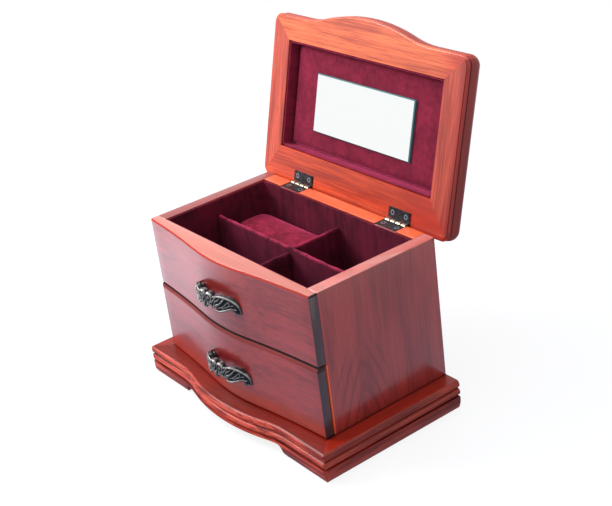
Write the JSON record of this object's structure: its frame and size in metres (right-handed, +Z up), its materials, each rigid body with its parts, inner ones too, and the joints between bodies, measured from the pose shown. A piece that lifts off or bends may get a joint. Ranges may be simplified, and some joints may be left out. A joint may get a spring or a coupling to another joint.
{
  "type": "jewelry casket",
  "caption": "Serpentine-front wooden jewelry casket with a hinged mirrored lid, velvet-lined tray, one bow-front drawer and scroll pulls on a moulded plinth.",
  "frame": {"origin": "on the ground under the middle of the box that holds the casket with its lid open", "axes": "+X to the casket's right as seen from the front, +Y towards the back, +Z up; the drawer opens towards -Y"},
  "size_m": [0.251, 0.209, 0.2956],
  "materials": {
    "plinth_wood": "cherry-stained hardwood, satin lacquer",
    "case_wood": "cherry-stained hardwood, satin lacquer",
    "front_wood": "cherry-stained hardwood, satin lacquer",
    "lid_wood": "cherry-stained hardwood, satin lacquer",
    "inner_wood": "stained plywood, matte",
    "velvet": "burgundy velvet on board",
    "cushion_velvet": "burgundy velvet over a soft filling",
    "mirror_glass": "silvered glass with polished edges",
    "hinge_metal": "antique brass plate, worn bright on the knuckles",
    "screw_metal": "plated steel",
    "pull_metal": "zinc casting, antique pewter plate"
  },
  "bodies": {
    "case": {"plinth_front_rail": "plinth_wood", "plinth_left_rail": "plinth_wood", "plinth_right_rail": "plinth_wood", "plinth_back_rail": "plinth_wood", "case_floor": "inner_wood", "case_left_side": "case_wood", "case_right_side": "case_wood", "case_back": "case_wood", "upper_front": "front_wood", "tray_shelf": "inner_wood", "tray_lining_band": "velvet", "tray_floor_pad": "velvet", "long_divider": "velvet", "cross_divider": "velvet", "ring_cushion": "cushion_velvet", "upper_pull": "pull_metal", "upper_pull_screws": "screw_metal", "left_hinge_case_leaf": "hinge_metal", "right_hinge_case_leaf": "hinge_metal", "left_hinge_pin": "hinge_metal", "right_hinge_pin": "hinge_metal", "hinge_screws_case": "screw_metal"},
    "lid": {"left_hinge_lid_leaf": "hinge_metal", "right_hinge_lid_leaf": "hinge_metal", "hinge_screws_lid": "screw_metal", "lid_front_rail": "lid_wood", "lid_back_rail": "lid_wood", "lid_left_stile": "lid_wood", "lid_right_stile": "lid_wood", "lid_panel": "lid_wood", "lid_lining_band": "velvet", "lid_pad": "velvet", "lid_mirror": "mirror_glass"},
    "drawer": {"drawer_front": "front_wood", "drawer_left_side": "inner_wood", "drawer_right_side": "inner_wood", "drawer_back": "inner_wood", "drawer_bottom": "inner_wood", "drawer_floor_pad": "velvet", "drawer_pull": "pull_metal", "drawer_pull_screws": "screw_metal"}
  },
  "joints": [
    {"name": "lid_hinge", "type": "hinge", "parent": "case", "child": "lid", "pos_m": [0, 0.04695, 0.1489], "axis": [1, 0, 0], "range_deg": [0, 104.8]},
    {"name": "drawer_slide", "type": "slide", "parent": "case", "child": "drawer", "axis": [0, -1, 0], "range_m": [-0.00095, 0.09]}
  ]
}
